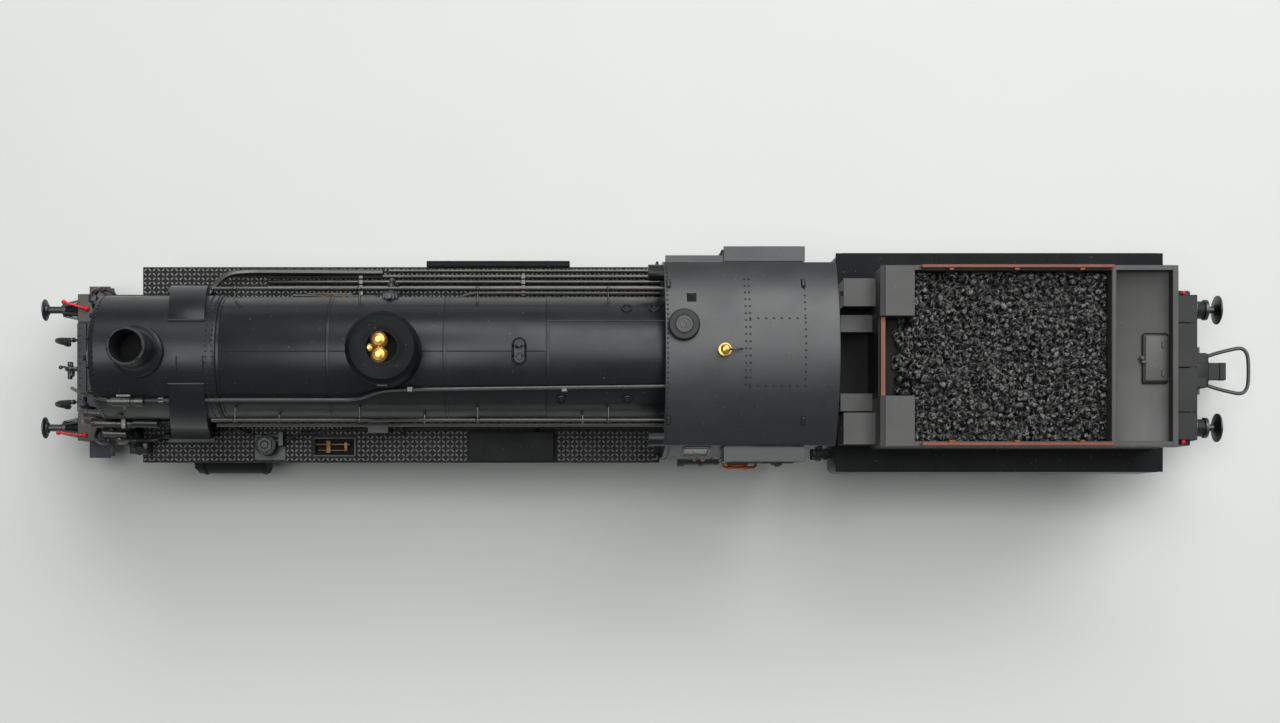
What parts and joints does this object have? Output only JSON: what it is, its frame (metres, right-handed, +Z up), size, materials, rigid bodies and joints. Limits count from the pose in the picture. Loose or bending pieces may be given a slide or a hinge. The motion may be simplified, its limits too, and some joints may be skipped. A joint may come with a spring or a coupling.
{
  "type": "model steam locomotive",
  "caption": "Model steam locomotive with tender: boiler, chimney, dome, cab, coupled wheels with rods and valve gear, and a coupler behind.",
  "frame": {"origin": "centre of the bounding box's underside, on the plane of the wheel flanges' lowest points; the rail tops lie 0.9 mm above it", "axes": "+X from the chimney end towards the tender, +Y to the locomotive's right-hand side, +Z up"},
  "size_m": [0.2074, 0.036, 0.0492],
  "materials": {
    "black_paint": "semi-matt",
    "brass": "satin",
    "circuit": "satin",
    "coal": "glossy lumps",
    "frame_black": "matt",
    "gear_plastic": "satin",
    "glazing": "clear",
    "planks": "satin",
    "rod_steel": "satin",
    "tread_plate": "matt, patterned",
    "wheel_steel": "satin",
    "zinc": "cast"
  },
  "bodies": {
    "locomotive": {"main_frame": "frame_black", "keeper_plate": "frame_black", "ballast_weight": "zinc", "motor": "wheel_steel", "circuit_board": "circuit", "boiler": "black_paint", "smokebox": "black_paint", "smokebox_door": "black_paint", "chimney": "black_paint", "steam_dome": "black_paint", "valves_and_whistle": "brass", "steam_pipe_casings": "black_paint", "running_boards": "tread_plate", "cab_body": "black_paint", "cab_roof": "black_paint", "cab_windows": "glazing", "backhead": "black_paint", "cylinders": "black_paint", "slide_bars": "rod_steel", "front_beam": "black_paint", "front_coupling": "frame_black", "pumps": "black_paint", "handrails": "black_paint", "pipework": "black_paint"},
    "driver_1": {"driver_wheelset_1": "wheel_steel"},
    "driver_2": {"driver_wheelset_2": "wheel_steel"},
    "driver_3": {"driver_wheelset_3": "wheel_steel"},
    "driver_4": {"driver_wheelset_4": "wheel_steel"},
    "coupling_rod_right": {"coupling_rod_right": "rod_steel"},
    "coupling_rod_left": {"coupling_rod_left": "rod_steel"},
    "main_rod_right": {"main_rod_right": "rod_steel"},
    "main_rod_left": {"main_rod_left": "rod_steel"},
    "eccentric_rod_right": {"eccentric_rod_right": "rod_steel"},
    "eccentric_rod_left": {"eccentric_rod_left": "rod_steel"},
    "crosshead_right": {"crosshead_right": "rod_steel"},
    "crosshead_left": {"crosshead_left": "rod_steel"},
    "expansion_link_right": {"expansion_link_right": "rod_steel"},
    "expansion_link_left": {"expansion_link_left": "rod_steel"},
    "combination_lever_right": {"combination_lever_right": "rod_steel"},
    "combination_lever_left": {"combination_lever_left": "rod_steel"},
    "idler": {"idler_gear": "gear_plastic"},
    "motor_shaft": {"motor_worm": "brass"},
    "pony_truck": {"pony_truck": "frame_black"},
    "pony_wheels": {"pony_wheelset": "wheel_steel"},
    "drawbar": {"drawbar": "frame_black"},
    "tender": {"tender_frame": "frame_black", "tender_tank": "black_paint", "tender_bunker": "black_paint", "coal": "coal", "bunker_planks": "planks", "tank_hatch": "black_paint"},
    "tender_wheels_1": {"tender_wheelset_1": "wheel_steel"},
    "tender_wheels_2": {"tender_wheelset_2": "wheel_steel"},
    "tender_wheels_3": {"tender_wheelset_3": "wheel_steel"},
    "front_buffer_right": {"front_buffer_right": "wheel_steel"},
    "front_buffer_left": {"front_buffer_left": "wheel_steel"},
    "rear_buffer_right": {"rear_buffer_right": "wheel_steel"},
    "rear_buffer_left": {"rear_buffer_left": "wheel_steel"},
    "coupler": {"coupler": "frame_black"},
    "coupler_loop": {"coupler_loop": "wheel_steel"}
  },
  "joints": [
    {"name": "driver_1_spin", "type": "hinge", "parent": "locomotive", "child": "driver_1", "pos_m": [-0.0521, 0, 0.00925], "axis": [0, 1, 0], "continuous": true},
    {"name": "driver_2_spin", "type": "hinge", "parent": "locomotive", "child": "driver_2", "pos_m": [-0.0331, 0, 0.00925], "axis": [0, 1, 0], "continuous": true},
    {"name": "driver_3_spin", "type": "hinge", "parent": "locomotive", "child": "driver_3", "pos_m": [-0.0141, 0, 0.00925], "axis": [0, 1, 0], "continuous": true},
    {"name": "driver_4_spin", "type": "hinge", "parent": "locomotive", "child": "driver_4", "pos_m": [0.0049, 0, 0.00925], "axis": [0, 1, 0], "continuous": true},
    {"name": "coupling_rod_right_pivot", "type": "hinge", "parent": "driver_3", "child": "coupling_rod_right", "pos_m": [-0.01785, 0.0107, 0.00925], "axis": [0, 1, 0], "continuous": true},
    {"name": "main_rod_right_pivot", "type": "hinge", "parent": "driver_3", "child": "main_rod_right", "pos_m": [-0.01785, 0.0115, 0.00925], "axis": [0, 1, 0], "continuous": true},
    {"name": "eccentric_rod_right_pivot", "type": "hinge", "parent": "driver_3", "child": "eccentric_rod_right", "pos_m": [-0.0141, 0.0126, 0.01055], "axis": [0, 1, 0], "continuous": true},
    {"name": "crosshead_right_slide", "type": "slide", "parent": "locomotive", "child": "crosshead_right", "axis": [1, 0, 0], "range_m": [0, 0.0075]},
    {"name": "expansion_link_right_rock", "type": "hinge", "parent": "locomotive", "child": "expansion_link_right", "pos_m": [-0.0375, 0.0143, 0.01555], "axis": [0, 1, 0], "range_deg": [-15, 15]},
    {"name": "combination_lever_right_swing", "type": "hinge", "parent": "locomotive", "child": "combination_lever_right", "pos_m": [-0.0596, 0.0143, 0.01585], "axis": [0, 1, 0], "range_deg": [-49, 0]},
    {"name": "coupling_rod_left_pivot", "type": "hinge", "parent": "driver_3", "child": "coupling_rod_left", "pos_m": [-0.0141, -0.0107, 0.0055], "axis": [0, 1, 0], "continuous": true},
    {"name": "main_rod_left_pivot", "type": "hinge", "parent": "driver_3", "child": "main_rod_left", "pos_m": [-0.0141, -0.0115, 0.0055], "axis": [0, 1, 0], "continuous": true},
    {"name": "eccentric_rod_left_pivot", "type": "hinge", "parent": "driver_3", "child": "eccentric_rod_left", "pos_m": [-0.0154, -0.0126, 0.00925], "axis": [0, 1, 0], "continuous": true},
    {"name": "crosshead_left_slide", "type": "slide", "parent": "locomotive", "child": "crosshead_left", "axis": [1, 0, 0], "range_m": [-0.00395, 0.00355]},
    {"name": "expansion_link_left_rock", "type": "hinge", "parent": "locomotive", "child": "expansion_link_left", "pos_m": [-0.0375, -0.0143, 0.01555], "axis": [0, 1, 0], "range_deg": [-15, 15]},
    {"name": "combination_lever_left_swing", "type": "hinge", "parent": "locomotive", "child": "combination_lever_left", "pos_m": [-0.0596, -0.0143, 0.01585], "axis": [0, 1, 0], "range_deg": [-23, 25]},
    {"name": "idler_spin", "type": "hinge", "parent": "locomotive", "child": "idler", "pos_m": [-0.0141, 0, 0.0145], "axis": [0, 1, 0], "continuous": true},
    {"name": "motor_spin", "type": "hinge", "parent": "locomotive", "child": "motor_shaft", "pos_m": [-0.0141, 0, 0.0187], "axis": [1, 0, 0], "continuous": true},
    {"name": "pony_swing", "type": "hinge", "parent": "locomotive", "child": "pony_truck", "pos_m": [-0.068, 0, 0.0058], "axis": [0, 0, 1], "range_deg": [-6, 6]},
    {"name": "pony_wheel_spin", "type": "hinge", "parent": "pony_truck", "child": "pony_wheels", "pos_m": [-0.0865, 0, 0.0058], "axis": [0, 1, 0], "continuous": true},
    {"name": "drawbar_swing", "type": "hinge", "parent": "locomotive", "child": "drawbar", "pos_m": [0.0234, 0, 0.0112], "axis": [0, 0, 1], "range_deg": [-6, 6]},
    {"name": "tender_swing", "type": "hinge", "parent": "drawbar", "child": "tender", "pos_m": [0.033, 0, 0.0112], "axis": [0, 0, 1], "range_deg": [-6, 6]},
    {"name": "tender_wheel_1_spin", "type": "hinge", "parent": "tender", "child": "tender_wheels_1", "pos_m": [0.0402, 0, 0.0069], "axis": [0, 1, 0], "continuous": true},
    {"name": "tender_wheel_2_spin", "type": "hinge", "parent": "tender", "child": "tender_wheels_2", "pos_m": [0.0597, 0, 0.0069], "axis": [0, 1, 0], "continuous": true},
    {"name": "tender_wheel_3_spin", "type": "hinge", "parent": "tender", "child": "tender_wheels_3", "pos_m": [0.0792, 0, 0.0069], "axis": [0, 1, 0], "continuous": true},
    {"name": "front_buffer_right_push", "type": "slide", "parent": "locomotive", "child": "front_buffer_right", "axis": [1, 0, 0], "range_m": [0, 0.001], "stiffness_N_per_m": 150},
    {"name": "rear_buffer_right_push", "type": "slide", "parent": "tender", "child": "rear_buffer_right", "axis": [-1, 0, 0], "range_m": [0, 0.001], "stiffness_N_per_m": 150},
    {"name": "front_buffer_left_push", "type": "slide", "parent": "locomotive", "child": "front_buffer_left", "axis": [1, 0, 0], "range_m": [0, 0.001], "stiffness_N_per_m": 150},
    {"name": "rear_buffer_left_push", "type": "slide", "parent": "tender", "child": "rear_buffer_left", "axis": [-1, 0, 0], "range_m": [0, 0.001], "stiffness_N_per_m": 150},
    {"name": "coupler_swing", "type": "hinge", "parent": "tender", "child": "coupler", "pos_m": [0.0872, 0, 0.0095], "axis": [0, 0, 1], "range_deg": [-12, 12]},
    {"name": "coupler_loop_lift", "type": "hinge", "parent": "coupler", "child": "coupler_loop", "pos_m": [0.0946, 0, 0.0095], "axis": [0, -1, 0], "range_deg": [0, 30]}
  ],
  "couplings": [
    {"joint": "driver_1_spin", "follows": "driver_3_spin", "ratio": 1},
    {"joint": "driver_2_spin", "follows": "driver_3_spin", "ratio": 1},
    {"joint": "driver_4_spin", "follows": "driver_3_spin", "ratio": 1},
    {"joint": "coupling_rod_right_pivot", "follows": "driver_3_spin", "ratio": -1},
    {"joint": "main_rod_right_pivot", "follows": "driver_3_spin", "ratio": -1},
    {"joint": "eccentric_rod_right_pivot", "follows": "driver_3_spin", "ratio": -1},
    {"joint": "coupling_rod_left_pivot", "follows": "driver_3_spin", "ratio": -1},
    {"joint": "main_rod_left_pivot", "follows": "driver_3_spin", "ratio": -1},
    {"joint": "eccentric_rod_left_pivot", "follows": "driver_3_spin", "ratio": -1},
    {"joint": "idler_spin", "follows": "driver_3_spin", "ratio": -1.5},
    {"joint": "motor_spin", "follows": "driver_3_spin", "ratio": 18}
  ]
}
